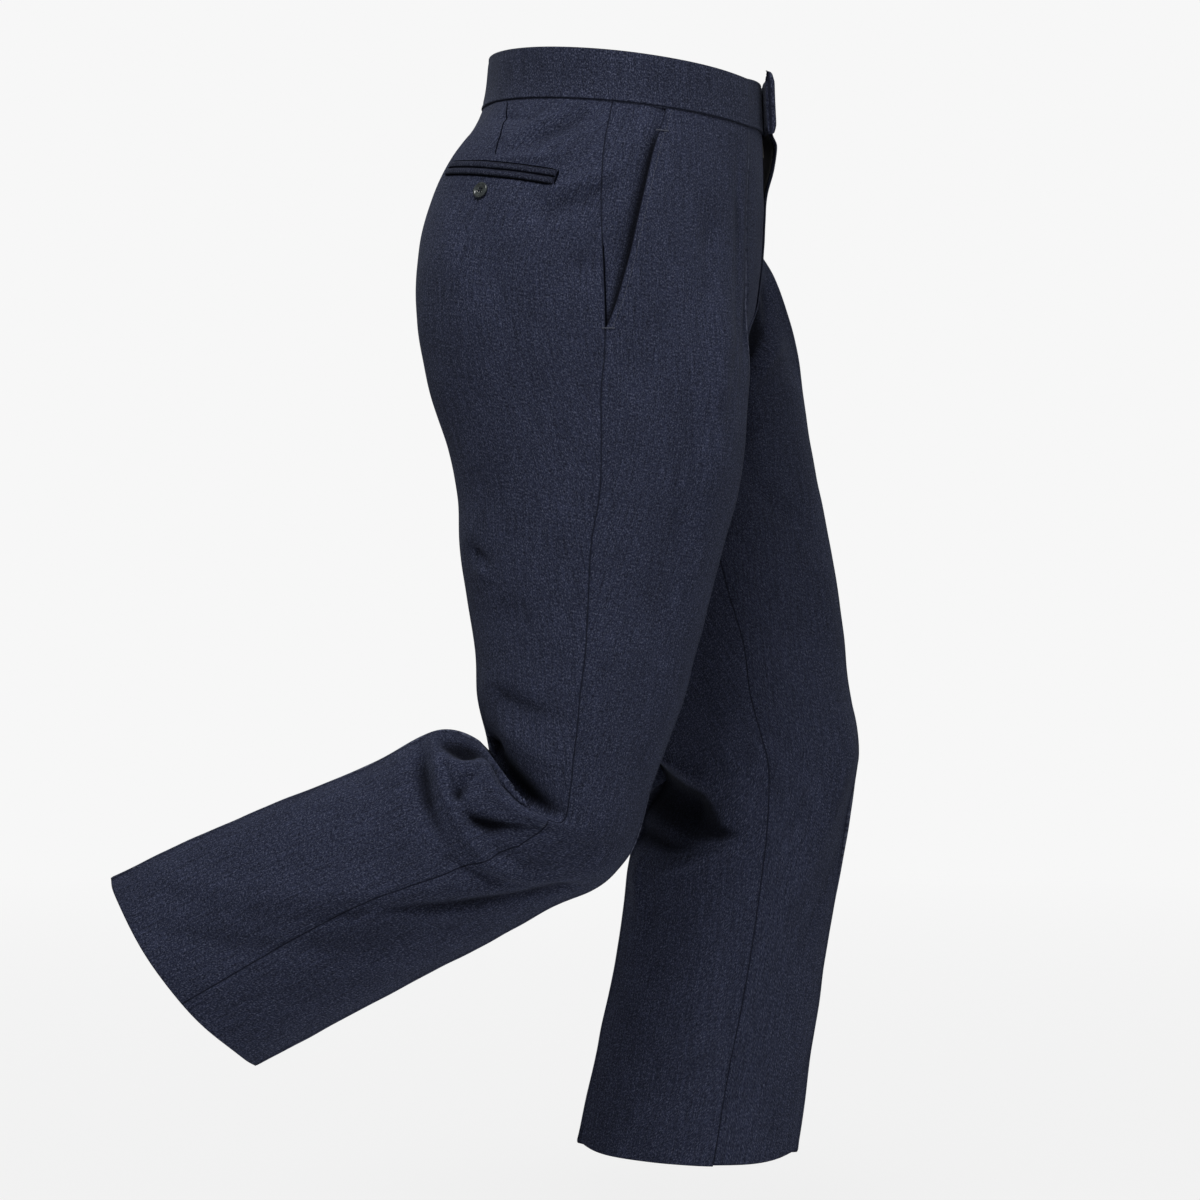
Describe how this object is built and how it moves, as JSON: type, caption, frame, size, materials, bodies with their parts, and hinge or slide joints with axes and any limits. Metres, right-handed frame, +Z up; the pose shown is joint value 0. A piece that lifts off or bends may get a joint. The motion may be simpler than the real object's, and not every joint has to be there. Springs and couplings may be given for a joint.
{
  "type": "military dress trousers",
  "caption": "Plain navy wool dress trousers worn on a running figure that isn't there, with a tabbed waistband, slanted side pockets and buttoned hip pockets.",
  "frame": {"origin": "centre of the waist opening, at half the waistband's height, where the wearer holds the trousers up", "axes": "+Z up, the front of the trousers faces -Y, the trousers' own left is +X"},
  "size_m": [0.373, 0.7069, 1.0606],
  "materials": {
    "wool": "matte",
    "band_wool": "matte",
    "welt_wool": "matte",
    "lining": "satin",
    "button": "satin"
  },
  "bodies": {
    "root": {"right_front": "wool", "left_front": "wool", "right_back": "wool", "left_back": "wool", "right_pocket_facing": "wool", "left_pocket_facing": "wool", "right_waistband": "band_wool", "left_waistband": "band_wool", "fly_facing": "lining", "fly_shield": "welt_wool", "right_welt_upper": "welt_wool", "right_welt_lower": "welt_wool", "left_welt_upper": "welt_wool", "left_welt_lower": "welt_wool", "right_button": "button", "left_button": "button"}
  },
  "joints": []
}
